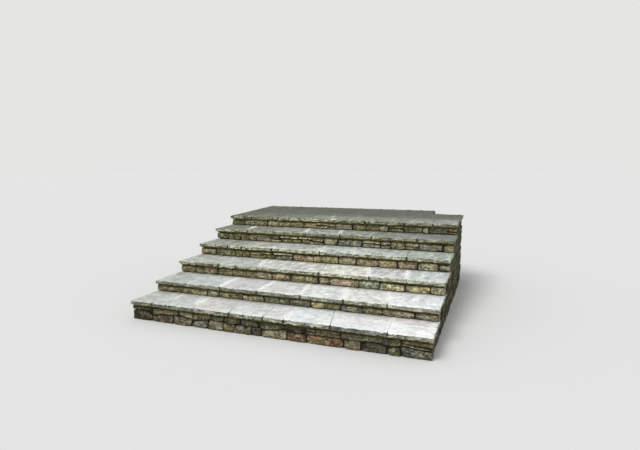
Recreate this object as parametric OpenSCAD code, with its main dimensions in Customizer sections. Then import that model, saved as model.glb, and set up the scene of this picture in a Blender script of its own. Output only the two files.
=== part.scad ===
// Outdoor stone steps: six risers of ledgestone, five flagstone treads and a flagstone landing
// laid on a stepped concrete core. X runs along the treads, Y runs in from the lowest front
// edge and Z runs up. The origin is the centre of the footprint, at the lowest ground.

/* [Plan] */
// Length of every tread, end to end
width = 3300; // [2900:10:3700]
// Depth of tread 1, front edge to front edge
going_1 = 410; // [340:2:520]
// Depth of tread 2
going_2 = 448; // [340:2:520]
// Depth of tread 3
going_3 = 440; // [340:2:520]
// Depth of tread 4
going_4 = 397; // [340:2:520]
// Depth of tread 5
going_5 = 406; // [340:2:520]
// Depth of the landing, front edge to the back of its recess
landing_depth = 1376; // [1240:2:1800]
// Depth of the recess that the landing fills at the doorway
recess_depth = 396; // [300:2:460]
// Length by which the landing stops short beside that recess
wing_width = 450; // [340:5:800]

/* [Heights] */
// Height of riser 1, from the lowest ground to the top of tread 1
rise_1 = 215; // [170:1:260]
// Height of riser 2
rise_2 = 130; // [110:1:190]
// Height of riser 3
rise_3 = 146; // [110:1:190]
// Height of riser 4
rise_4 = 149; // [110:1:190]
// Height of riser 5
rise_5 = 153; // [110:1:190]
// Height of riser 6
rise_6 = 139; // [110:1:190]
// Height that the landing gains from its front edge to its back, to shed water
landing_fall = 28; // [4:1:50]

/* [Flagstones] */
// Thickness of the flags
flag_thick = 45; // [35:1:60]
// Overhang of a tread past the riser below it
nosing = 17; // [8:1:40]
// Overhang of a tread past the side walls
end_lap = 12; // [4:1:30]
// Width of the joints between flags
joint_width = 9; // [6:0.5:16]
// Depth of the raked joint below the top of the flags
joint_rake = 3; // [2:0.5:12]
// Depth by which the joints stand open at the front edge and the ends
joint_open = 26; // [10:1:40]
// Height of the pitched edge struck off the top arris
arris_drop = 13; // [4:0.5:16]
// Depth of that pitched edge
arris_set = 7; // [2:0.5:14]
// Height of the spall struck off the lower edge
spall_rise = 14; // [4:0.5:16]
// Depth of that spall
spall_set = 6; // [2:0.5:14]
// Most that one flag is set back from its neighbours along the front edge
edge_wander = 8; // [0:0.5:14]
// Depth of the front row of the landing
nosing_row = 400; // [320:5:460]

/* [Masonry] */
// Thickness of the stone facing of the risers
riser_thick = 105; // [80:1:140]
// Thickness of the stone side walls
side_thick = 150; // [120:1:200]
// Thickness of the stone walls at the back
back_thick = 120; // [90:1:160]
// Thickness of the mortar bed under the flags
bed_thick = 13; // [8:0.5:25]
// Depth by which the bed is raked back from the face of the masonry
bed_rake = 12; // [4:0.5:25]

/* [Hidden] */

flag_tone = "gainsboro";
mortar_tone = "lightgray";
riser_tone = "tan";
side_tone = "darkkhaki";
core_tone = "gray";

// Step 6 is the landing
STEPS = 5;
LANDING = STEPS + 1;
goings = [going_1, going_2, going_3, going_4, going_5];
rises = [rise_1, rise_2, rise_3, rise_4, rise_5, rise_6];
function total(list, n) = n < 1 ? 0 : list[n - 1] + total(list, n - 1);

// Heights and places of step k, counted from 1
function top(k) = total(rises, k);
function flag_foot(k) = top(k) - flag_thick;
function seat(k) = flag_foot(k) - bed_thick;
function front(k) = total(goings, k - 1);
function face(k) = front(k) + nosing;
function core_front(k) = face(k) + riser_thick;
depth = front(LANDING) + landing_depth;
function back(k) = k == LANDING ? depth : core_front(k + 1);
// What step k gains in height by the place y: only the landing is laid to a fall
function climb(k, y) = k == LANDING ? landing_fall * (y - front(k)) / landing_depth : 0;

// The landing is cut short behind wing_back, to the right of recess_right
wing_back = depth - recess_depth;
recess_right = width - wing_width;
core_left = end_lap + side_thick;
core_right = width - end_lap - side_thick;
// Length by which a cut runs on past the faces that it cuts
past = 10;

// Joints of each row of flags: [place at the front edge, sideways lean by the back edge]
tread_joints = [
    [[290, -30], [473, -114], [845, -250], [1262, -150], [1645, -60], [1870, -15], [2352, -130], [2890, -50]],
    [[430, -40], [888, -25], [1360, 5], [1872, -112], [2342, -120], [2797, -98]],
    [[570, -60], [1110, -100], [1905, -100], [2490, -150], [2898, -95]],
    [[440, -50], [650, -45], [1090, -70], [1745, -110], [2395, -10], [2810, -30]],
    [[515, -100], [930, -50], [1390, -120], [1875, -130], [2290, -40], [2860, -20]]];
nosing_joints = [[355, -30], [790, -50], [1225, 20], [1640, -40], [2090, -20], [2620, 30], [2990, -20]];
paving_joints = [
    [[520, 15], [1010, -30], [1480, 10], [1900, -25], [2380, 20], [2740, -20]],
    [[300, -20], [760, 25], [1250, -15], [1730, 20], [2200, -30], [2610, 15], [3010, 10]]];
recess_joints = [[560, 20], [1080, -20], [1510, 25], [2020, -20], [2450, 10]];
// Flags in two parts, front and back: [tread, flag counted from 0, depth of the front part]
cross_joints = [[1, 8, 300], [4, 5, 270]];
// Shortest flag that is laid at the right end of a row
min_flag = 120;

// Even-looking scatter from -1 to 1, the same for the same row and flag
function scatter(row, i) = sin(row * 137 + i * 71 + row * i * 29);
// How far a front corner stands back from the row's line; flag 2 stays on the line
function set_back(row, i, corner) = i == 2 ? 0 : edge_wander * pow(scatter(row * 3 + corner, i + 1), 2);
// Most that a joint bends sideways half way back
joint_bend = 11;

// Edge of joint number i of a row as [front, middle, back] places, half a joint to one side
function joint_edge(joints, row, i, half) =
    let (start = joints[i][0] + half, end = start + joints[i][1])
    [start, (start + end) / 2 + joint_bend * scatter(row + 5, i + 3), end];

// Outlines of the flags of one row, laid from place y0 to y1 and as far right as right_end
function flag_outlines(all_joints, row, right_end, y0, y1, ragged) =
    let (joints = [for (j = all_joints) if (j[0] < right_end - min_flag) j],
         last = len(joints), half = joint_width / 2, mid = (y0 + y1) / 2)
    [for (i = [0 : last])
        let (left = i == 0 ? [0, 0, 0] : joint_edge(joints, row, i - 1, half),
             right = i == last ? [right_end, right_end, right_end] : joint_edge(joints, row, i, -half),
             y_left = y0 + (ragged ? set_back(row, i, 0) : 0),
             y_right = y0 + (ragged ? set_back(row, i, 1) : 0))
        [[left[0], y_left], [right[0], y_right], [right[1], mid],
         [right[2], y1], [left[2], y1], [left[1], mid]]];

// The finished model, with the centre of its footprint on the origin
module placed() {
    translate([-width / 2, -depth / 2, 0]) children();
}

module block(x0, x1, y0, y1, z0, z1) {
    translate([x0, y0, z0]) cube([x1 - x0, y1 - y0, z1 - z0]);
}

// Solid with the side outline [[y, z], ...], from x0 to x1
module sweep_x(x0, x1, outline) {
    translate([x0, 0, 0]) rotate([90, 0, 90]) linear_extrude(x1 - x0) polygon(outline);
}

// Notch beside the doorway recess, as far in as the faces of the back walls or less
module notch(inset) {
    block(recess_right - inset, width + past, wing_back - inset, depth + past,
          -past, top(LANDING) + landing_fall + past);
}

// Side outline of everything that carries the beds, with its steps, as far back as y_end
function stepped_outline(y_end) = concat(
    [[core_front(1), 0]],
    [for (k = [1 : LANDING], y = [core_front(k), k == LANDING ? y_end : core_front(k + 1)])
        [y, seat(k) + climb(k, y)]],
    [[y_end, 0]]);

// Cast concrete under the flags, behind the stone
module core() {
    color(core_tone) difference() {
        sweep_x(core_left, core_right, stepped_outline(depth - back_thick));
        notch(back_thick);
    }
}

// Stone facing of riser k, standing on the flags of the step below
module riser(k) {
    foot = k == 1 ? 0 : top(k - 1);
    color(riser_tone) sweep_x(end_lap, width - end_lap, [
        [face(k), foot], [core_front(k), foot],
        [core_front(k), seat(k) + climb(k, core_front(k))], [face(k), seat(k) + climb(k, face(k))]]);
}

// Stone side walls, stepped with the treads
module right_wall() {
    color(side_tone) sweep_x(core_right, width - end_lap, stepped_outline(wing_back));
}

module left_wall() {
    color(side_tone) sweep_x(end_lap, core_left, stepped_outline(depth));
}

// Back walls, as high as the bed of the sloping landing
module wall_piece(x0, x1, y0, y1) {
    color(side_tone) sweep_x(x0, x1, [
        [y0, 0], [y1, 0],
        [y1, seat(LANDING) + climb(LANDING, y1)], [y0, seat(LANDING) + climb(LANDING, y0)]]);
}

module wing_wall() {
    wall_piece(recess_right, core_right, wing_back - back_thick, wing_back);
}

module recess_wall() {
    wall_piece(recess_right - back_thick, recess_right, wing_back - back_thick, depth - back_thick);
}

module back_wall() {
    wall_piece(core_left, recess_right, depth - back_thick, depth);
}

// Side outline of a layer of step k, from y0 back, between two heights at the front edge
function layer(k, y0, z0, z1) = [
    [y0, z0 + climb(k, y0)], [back(k), z0 + climb(k, back(k))],
    [back(k), z1 + climb(k, back(k))], [y0, z1 + climb(k, y0)]];

// Side outline of a row of flags: top pitched back and foot spalled along the front edge
function flag_layer(k) =
    let (y0 = front(k), z0 = flag_foot(k), z1 = top(k), rear = layer(k, y0, z0, z1))
    [[y0, z0 + spall_rise], [y0 + spall_set, z0 + climb(k, y0 + spall_set)], rear[1], rear[2],
     [y0 + arris_set, z1 + climb(k, y0 + arris_set)], [y0, z1 - arris_drop]];

// Plan of all the flags of tread k, with the joints open
module tread_plan(k) {
    outlines = flag_outlines(tread_joints[k - 1], k, width, front(k), back(k), true);
    for (i = [0 : len(outlines) - 1]) difference() {
        polygon(outlines[i]);
        for (c = cross_joints) if (c[0] == k && c[1] == i)
            translate([0, front(k) + c[2]]) square([width, joint_width]);
    }
}

// The landing's rows: row -1 in front, paving rows up to the wing's back, then the recess row
RECESS_ROW = len(paving_joints);
row_pitch = (wing_back - front(LANDING) - nosing_row) / RECESS_ROW;
function row_joints(r) = r < 0 ? nosing_joints : r == RECESS_ROW ? recess_joints : paving_joints[r];
function row_front(r) = front(LANDING) + (r < 0 ? 0 : nosing_row + r * row_pitch + joint_width);
function row_back(r) = r == RECESS_ROW ? depth : front(LANDING) + nosing_row + (r + 1) * row_pitch;
function row_right(r) = r == RECESS_ROW ? recess_right : width;

module landing_plan(first, last) {
    for (r = [first : last])
        for (outline = flag_outlines(row_joints(r), LANDING + 1 + r, row_right(r),
                                     row_front(r), row_back(r), r < 0))
            polygon(outline);
}

// Flags of step k, cut to the plan given as a child
module flags(k) {
    color(flag_tone) intersection() {
        translate([0, 0, flag_foot(k)]) linear_extrude(flag_thick + landing_fall) children();
        sweep_x(0, width, flag_layer(k));
    }
}

// Mortar of step k: a bed over the masonry and a rib in every joint of the plan given as a child
module mortar(k) {
    color(mortar_tone) difference() {
        union() {
            sweep_x(end_lap + bed_rake, width - end_lap - bed_rake,
                    layer(k, face(k) + bed_rake, seat(k), flag_foot(k)));
            intersection() {
                translate([0, 0, seat(k)]) linear_extrude(top(k) - seat(k) + landing_fall) difference() {
                    square([width, depth]);
                    children();
                }
                sweep_x(joint_open, width - joint_open,
                        layer(k, front(k) + max(joint_open, nosing + bed_rake),
                              flag_foot(k) - bed_thick / 2, top(k) - joint_rake));
            }
        }
        notch(bed_rake);
    }
}

placed() core();
for (k = [1 : LANDING]) placed() riser(k);
for (k = [1 : STEPS]) placed() mortar(k) tread_plan(k);
placed() mortar(LANDING) landing_plan(-1, RECESS_ROW);  // landing_bed
for (k = [1 : STEPS]) placed() flags(k) tread_plan(k);
placed() flags(LANDING) landing_plan(-1, -1);  // landing_nosing
placed() flags(LANDING) landing_plan(0, RECESS_ROW);  // landing_paving
placed() right_wall();
placed() left_wall();
placed() wing_wall();
placed() recess_wall();
placed() back_wall();
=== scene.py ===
import math
from functools import partialmethod

import bpy
import numpy as np
from mathutils import Matrix, Vector, noise


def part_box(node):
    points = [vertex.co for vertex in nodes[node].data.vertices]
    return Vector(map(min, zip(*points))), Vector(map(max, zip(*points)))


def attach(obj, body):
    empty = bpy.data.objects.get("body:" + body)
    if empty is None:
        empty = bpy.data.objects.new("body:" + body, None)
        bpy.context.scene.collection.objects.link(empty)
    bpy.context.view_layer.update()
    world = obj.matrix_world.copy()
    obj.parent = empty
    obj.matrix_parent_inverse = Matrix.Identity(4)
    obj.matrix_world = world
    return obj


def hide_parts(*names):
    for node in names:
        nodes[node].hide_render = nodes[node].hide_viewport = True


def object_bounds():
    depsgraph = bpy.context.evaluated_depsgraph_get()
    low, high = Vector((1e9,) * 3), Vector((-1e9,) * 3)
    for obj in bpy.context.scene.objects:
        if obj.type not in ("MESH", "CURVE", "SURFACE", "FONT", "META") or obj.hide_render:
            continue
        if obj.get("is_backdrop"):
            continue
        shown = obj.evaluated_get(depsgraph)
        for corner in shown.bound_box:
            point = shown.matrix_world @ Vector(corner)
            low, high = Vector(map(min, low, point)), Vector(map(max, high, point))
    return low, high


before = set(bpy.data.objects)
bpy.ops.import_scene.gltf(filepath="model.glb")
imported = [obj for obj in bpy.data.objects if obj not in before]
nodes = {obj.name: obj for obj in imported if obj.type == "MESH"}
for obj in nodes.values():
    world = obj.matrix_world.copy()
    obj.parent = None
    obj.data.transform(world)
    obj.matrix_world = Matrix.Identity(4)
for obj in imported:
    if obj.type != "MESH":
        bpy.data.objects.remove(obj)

cad_low, cad_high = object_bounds()

# The view of the photograph
# The camera stands a little to the right of the steps, at the height of a person's eyes, and
# looks up the flight to the left. Place, aim and lens were solved from the treads' edges.


def add_object(name, data):
    """Puts new data into the scene as an object of its own."""
    made = bpy.data.objects.new(name, data)
    bpy.context.collection.objects.link(made)
    return made


camera_place = Vector((2.1195, -5.6183, 1.7131))
camera_aim = Vector((-0.35838, 0.92397, -0.13357)).normalized()
camera_up = Vector((-0.04152, 0.12715, 0.99101))
camera_side = camera_aim.cross(camera_up).normalized()
camera_data = bpy.data.cameras.new("view")
camera_data.lens = 26.12
camera_data.sensor_width = 36.0
camera = add_object("view", camera_data)
camera.matrix_world = Matrix.Translation(camera_place) @ Matrix(
    (camera_side, camera_side.cross(camera_aim), -camera_aim)).transposed().to_4x4()
bpy.context.scene.camera = camera

# Concrete core
# The mass that carries everything is cast concrete, stepped like the flight. The stone and
# the flags hide it, apart from what a deep joint lets through.


def plug(socket, value):
    """Links a wire to a socket, or sets the socket's own value."""
    if isinstance(value, Wire):
        socket.id_data.links.new(value.socket, socket)
    else:
        socket.default_value = value


def add_node(tree, kind, settings, sockets, output=0):
    """Adds a node with its settings, then its socket values or links, and returns one output."""
    made = tree.nodes.new(kind)
    for name, value in settings.items():
        setattr(made, name, value)
    for name, value in sockets.items():
        plug(made.inputs[name], value)
    return Wire(made.outputs[output])


class Wire:
    """An output of a node that can be used in sums, which add their own Math nodes."""

    def __init__(self, socket):
        self.socket = socket

    def math(self, operation, other, swapped=False):
        first, second = (other, self) if swapped else (self, other)
        return add_node(self.socket.id_data, "ShaderNodeMath", {"operation": operation},
                        {0: first, 1: second})

    __add__ = __radd__ = partialmethod(math, "ADD")
    __mul__ = __rmul__ = partialmethod(math, "MULTIPLY")
    __sub__ = partialmethod(math, "SUBTRACT")
    __rsub__ = partialmethod(math, "SUBTRACT", swapped=True)
    __truediv__ = partialmethod(math, "DIVIDE")
    __rtruediv__ = partialmethod(math, "DIVIDE", swapped=True)


def tone(red, green, blue):
    """A colour named by its 0 to 255 values, as the numbers that a shader works with."""
    return tuple((c / 255 / 12.92 if c < 10.5 else ((c / 255 + 0.055) / 1.055) ** 2.4)
                 for c in (red, green, blue)) + (1.0,)


class Finish:
    """The material of one kind of piece, painted in the piece's own coordinates."""

    def __init__(self, name):
        self.material = bpy.data.materials.new(name)
        self.material.use_nodes = True
        self.tree = self.material.node_tree
        self.shader = self.tree.nodes["Principled BSDF"]
        self.shader.inputs["Specular IOR Level"].default_value = 0.3
        self.place = self.node("ShaderNodeTexCoord", {}, {}, "Object")

    def node(self, kind, settings, sockets, output=0):
        return add_node(self.tree, kind, settings, sockets, output)

    def speckle(self, size, seed=0, detail=4, stretch=(1, 1, 1), rough=0.6):
        """Noise from 0 to 1, with patches about as large as size, in metres."""
        where = self.node("ShaderNodeMapping", {}, {
            "Vector": self.place, "Location": (seed, seed * 1.7, -seed), "Scale": stretch})
        return self.node("ShaderNodeTexNoise", {}, {
            "Vector": where, "Scale": 1 / size, "Detail": detail, "Roughness": rough}, "Fac")

    def along(self, axis):
        """How far a point lies along X, Y or Z, in metres."""
        return self.node("ShaderNodeSeparateXYZ", {}, {"Vector": self.place}, axis)

    def step(self, wire, low, high):
        """0 below low and 1 above high, with a soft change between them."""
        return self.node("ShaderNodeMapRange", {"interpolation_type": "SMOOTHSTEP"}, {
            "Value": wire, "From Min": low, "From Max": high})

    def value(self, name):
        """A number that the piece's own mesh carries at each point."""
        return self.node("ShaderNodeAttribute", {"attribute_name": name}, {}, "Fac")

    def colour(self, name):
        """A colour that the piece's own mesh carries at each point."""
        return self.node("ShaderNodeAttribute", {"attribute_name": name}, {}, "Color")

    def mix(self, amount, first, second, blend="MIX"):
        return self.node("ShaderNodeMix", {"data_type": "RGBA", "blend_type": blend}, {
            0: amount, 6: first, 7: second}, 2)

    def times(self, colour, *factors):
        """The colour with its red, green and blue multiplied by a factor each."""
        return self.mix(1.0, colour, (*factors[:3], 1.0), "MULTIPLY")

    def shade(self, colour, wire, low, high):
        """The colour times low where the wire is 0, and times high where it is 1."""
        grey = self.node("ShaderNodeMapRange", {}, {"Value": wire, "To Min": low, "To Max": high})
        return self.mix(1.0, colour, grey, "MULTIPLY")

    def mottle(self, colour, *patterns):
        """Shades the colour by each (pattern, low, high, factor below low, factor above high)."""
        for wire, low, high, below, above in patterns:
            colour = self.shade(colour, self.step(wire, low, high), below, above)
        return colour

    def cover(self, colour, *coats):
        """Lays coats over the colour, each (how much of it shows, its colour)."""
        for amount, coat in coats:
            colour = self.mix(amount, colour, coat)
        return colour

    def finish(self, colour, rough, height, depth):
        """Sets the colour, the roughness and the relief, whose depth is in metres."""
        plug(self.shader.inputs["Base Color"], colour)
        plug(self.shader.inputs["Roughness"], rough)
        relief = self.node("ShaderNodeBump", {}, {"Height": height, "Distance": depth, "Strength": 1.0})
        plug(self.shader.inputs["Normal"], relief)
        return self.material


def dress(piece, material, slot=None, *replaced):
    """Gives a piece its material and, where it isn't a CAD node, hangs it on the root body and hides the
    CAD nodes it replaces.
    """
    piece.data.materials.clear()
    piece.data.materials.append(material)
    if slot:
        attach(piece, "root")
        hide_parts(*replaced)


cast = Finish("cast_concrete")
grout_stain = cast.speckle(0.35)
sand_grain = cast.speckle(0.006, detail=2)
dress(nodes["core"], cast.finish(
    cast.mix(grout_stain, tone(128, 124, 116), tone(160, 156, 148)), 0.9,
    grout_stain * 0.6 + sand_grain * 0.4, 0.003))

# Riser facings
# Each riser is a row of ledgestones, split by hand and laid nearly dry on the tread below,
# with dark open joints. The lowest has thin ledges over blocks of rubble.


def spread(length, cell, ends=0.006):
    """Places from 0 to 1 along a length in metres: even cells, with a finer one at both ends."""
    ends = min(ends, length / 5)
    count = max(2, round((length - 2 * ends) / cell))
    return np.concatenate([[0.0], np.linspace(ends / length, 1 - ends / length, count + 1), [1.0]])


class Blocks:
    """Closed blocks in one mesh, each with a lattice of points on its six sides."""

    def __init__(self):
        self.points, self.faces, self.values, self.count = [], [], {}, 0

    def add(self, place, us, vs, ws, **values):
        """A block whose outer side spans u to the right and v up, and whose depth w runs inwards.
        place turns arrays of u, v and w from 0 to 1 into points. A value is a constant or a
        function of the same arrays."""
        shape = (len(us), len(vs), len(ws))
        skin = np.zeros(shape, bool)
        skin[[0, -1]] = skin[:, [0, -1]] = skin[:, :, [0, -1]] = True
        number = np.full(shape, -1)
        number[skin] = np.arange(skin.sum()) + self.count
        u, v, w = (axis[i] for axis, i in zip((us, vs, ws), np.nonzero(skin)))
        self.points.append(place(u, v, w))
        self.count += len(u)
        for grid, turned in ((number[:, :, 0], False), (number[:, :, -1], True),
                             (number[0], False), (number[-1], True),
                             (number[:, 0].T, False), (number[:, -1].T, True)):
            quads = np.stack([grid[:-1, :-1], grid[1:, :-1], grid[1:, 1:], grid[:-1, 1:]], -1)
            self.faces.append(quads.reshape(-1, 4)[:, ::-1 if turned else 1])
        for name, value in values.items():
            value = np.asarray(value(u, v, w) if callable(value) else value, float)
            width = value.shape[-1:] if name == "tint" else ()
            self.values.setdefault(name, []).append(np.broadcast_to(value, (len(u), *width)))

    def mesh(self, name):
        mesh = bpy.data.meshes.new(name)
        mesh.from_pydata(np.concatenate(self.points).tolist(), [], np.concatenate(self.faces).tolist())
        for key, lists in self.values.items():
            value = np.concatenate(lists).astype(np.float32)
            kind, field = ("FLOAT_COLOR", "color") if value.ndim == 2 else ("FLOAT", "value")
            mesh.attributes.new(key, kind, "POINT").data.foreach_set(field, value.ravel())
        return mesh


def drift(x, y, size, seed):
    """Smooth wander from about -1 to 1 over a plane, the same for neighbouring stones."""
    return np.array([noise.noise(Vector((a / size, b / size, seed))) for a, b in zip(x, y)])


def hump(distance, reach):
    """1 at no distance, and less with every step away; 0.37 at the reach."""
    return np.exp(-(distance / reach) ** 2)


def level(z):
    """A bed line that lies level at a height."""
    return lambda x: np.full_like(x, z)


def between(foot, top, share):
    """The bed line at a share of the way from one line up to another."""
    return lambda x: foot(x) + share * (top(x) - foot(x))


STONE_TONES = {
    "cream": (194, 188, 152), "beige": (172, 164, 136), "tan": (158, 146, 112),
    "gold": (160, 150, 110), "honey": (184, 170, 130), "peach": (182, 158, 126),
    "pink": (198, 172, 148), "rose": (150, 136, 114), "plum": (124, 112, 98),
    "rust": (146, 116, 90), "orange": (170, 134, 98), "russet": (130, 106, 88), "umber": (120, 110, 80),
    "bark": (96, 82, 66), "olive": (126, 124, 90), "moss": (110, 112, 82), "fern": (92, 94, 64),
    "peat": (62, 59, 30), "sage": (160, 170, 150), "ash": (146, 146, 124), "dove": (124, 126, 112),
    "slate": (102, 102, 88), "soot": (84, 82, 68), "pitch": (44, 42, 32)}
# Gap in metres from which a joint is dark, and what the worn arrises add to a joint, in mm
OPEN = 0.005
WORN = 3
# How far a stone reaches in behind the face, and up to what height it is a thin ledge, painted paler as
# painted light
STONE_DEEP = 0.055
THIN = 0.05


class Wall:
    """A face of masonry: x runs along it and z up it, in metres, and depth runs in behind it."""

    def __init__(self, along, out, face, low, high, cell, blocks,
                 rounding=0.16, bedding=(0.002, 0.002), soiling=1.0, shelter=0.018):
        """face is the distance of the plane along out; low and high bound x and z; rounding says
        how far the stones' corners are cut, as a share of their height; bedding is the widest gap
        under and over a stone; the next gives the share of their brightness that dirt and painted
        shade leave, and the last how far down from the top the painted shade and moss under the overhang
        reach."""
        self.along, self.out, self.face = np.array(along), np.array(out), face
        self.low, self.high, self.cell, self.blocks = low, high, cell, blocks
        self.rounding, self.bedding = rounding, np.array(bedding)
        self.soiling, self.shelter = soiling, shelter

    def points(self, x, z, depth):
        """Points of the model at places along, up and behind the face, kept within the wall."""
        x, z = np.clip(x, self.low[0], self.high[0]), np.clip(z, self.low[1], self.high[1])
        return np.outer(x, self.along) + np.outer(z, (0, 0, 1)) + np.outer(self.face - depth, self.out)

    def sheltered(self, z):
        """1 right under the overhang, where painted shade and moss darken the stones, and less at the
        foot, where painted shade and dirt darken them.
        """
        return np.minimum(hump(self.high[1] - z, self.shelter) + 0.55 * hump(z - self.low[1], 0.030), 1)

    def stone(self, left, right, foot, top, colour, seed, thick, end, rng):
        """Lays a stone between two joints, each (x, lean, gap), and two bed lines z(x). The end
        stones of a wall are worked all round."""
        gap_foot, gap_top = rng.uniform(0.0, 1.0, 2) * self.bedding
        tilt = rng.normal(0, 0.002)
        set_back = rng.uniform(0.0, 0.012)
        swell = rng.uniform(0.003, 0.009)
        slant = rng.uniform(-0.006, 0.006)
        soft = rng.uniform(0.4, 1.0)
        shade = rng.uniform(0.86, 1.12)
        hue = rng.normal(0, 0.02, 3)
        middle = np.array([(left[0] + right[0]) / 2])
        length, height = right[0] - left[0], float(top(middle)[0] - foot(middle)[0])
        corners = rng.uniform(0.1, 1.0, (2, 2)) ** 1.5 * self.rounding * min(length, height)
        corners *= [[min(1.0, 0.4 + gap / OPEN)] * 2 for x, lean, gap in (left, right)]

        def place(u, v, w):
            a, b = 2 * u - 1, 2 * v - 1
            sides = [x + lean * (v - 0.5) + way * gap / 2
                     for (x, lean, gap), way in ((left, 1), (right, -1))]
            x = sides[0] + (sides[1] - sides[0]) * u
            low = foot(x) + gap_foot
            high = np.maximum(top(x) - gap_top - np.abs(tilt) - tilt * a, low + 0.008)
            z = low + (high - low) * v
            corner = corners[(a > 0).astype(int), (b > 0).astype(int)]
            corner = corner * np.abs(a) ** max(2, length / 0.06)
            x = x - np.sign(a) * corner * np.abs(b) ** 3 + 0.006 * drift(x, z, 0.07, seed)
            z = z - 0.7 * corner * b + 0.004 * drift(x, z, 0.09, seed + 40.0)
            crown = swell * (a ** 4 + b ** 4) / 2 * (1 - w)
            return self.points(x, z, set_back + np.maximum(0.0, slant * b) + crown + w * thick)

        def worked(u, v, w):
            if end:
                return (1.0 - 0.7 * w) * min(1.0, height / 0.09)
            to_joint = np.minimum(np.minimum(u, 1 - u) * length, np.minimum(v, 1 - v) * height)
            return np.where(w == 0, 0.2 + 0.8 * np.clip(to_joint / 0.012, 0, 1), 0.12)

        def edge(u, v, w):
            """1 in the open joints, fading to 0 on the outer side, where the stone is painted darker with
            dirt and painted shade; a tight joint hardly darkens.
            """
            sides = ((u * length, left[2]), ((1 - u) * length, right[2]),
                     (v * height, OPEN), ((1 - v) * height, OPEN))
            return np.max([min(gap / OPEN + 0.1, 1.0) * hump(distance, 0.004)
                           for distance, gap in sides], axis=0)

        near_face = np.array([0.004, 0.013, 0.028]) / thick
        behind = np.linspace(near_face[-1], 1.0, max(2, round(thick / 0.04)))[1:]
        # Thin ledges are painted paler: painted light
        pale = 1.35 if height < THIN else 1.0
        tint = np.minimum(np.array(tone(*colour)[:3]) * shade * pale * (1 + hue), 0.8)
        self.blocks.add(place, spread(length, self.cell, 0.003), spread(height, self.cell, 0.004),
                        np.concatenate([[0.0], near_face, behind]), tint=np.array([*tint, 1.0]),
                        work=worked, edge=edge, soft=soft, seed=rng.uniform(0, 50), clean=self.soiling,
                        eaves=lambda u, v, w: self.sheltered(place(u, v, w)[:, 2]))

    def course(self, start, stones, foot, top, seed, end_thick):
        """Lays stones given as (right joint, lean, tones of its one or two layers[, gap]), in mm."""
        rng = np.random.default_rng(seed)
        layered = [len(stone[2]) > 1 for stone in stones] + [False]
        left = [(start, 0.0, 0.0)] * 2
        for index, (x, lean, tones, *gap) in enumerate(stones):
            last = index == len(stones) - 1
            end = last or index == 0
            gap = max(0.0004, (gap[0] - WORN) * 0.8 / 1000) if gap else rng.uniform(0.0004, 0.004)
            staggered = layered[index] and layered[index + 1]
            shifts = rng.uniform(-0.035, 0.035, 2) if staggered else (0.0, 0.0)
            right = [(self.low[0] + x / 1000 + shift, lean / 1000, 0.0 if last else gap)
                     for shift in shifts]
            share = rng.uniform(0.34, 0.66)
            beds = (0.0, share, 1.0) if layered[index] else (0.0, 1.0)
            for layer, name in enumerate(tones):
                lines = [between(foot, top, bed) for bed in beds[layer:layer + 2]]
                self.stone(left[layer], right[layer], *lines, STONE_TONES[name], seed,
                           end_thick if end else STONE_DEEP, end, rng)
            left = right


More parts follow.
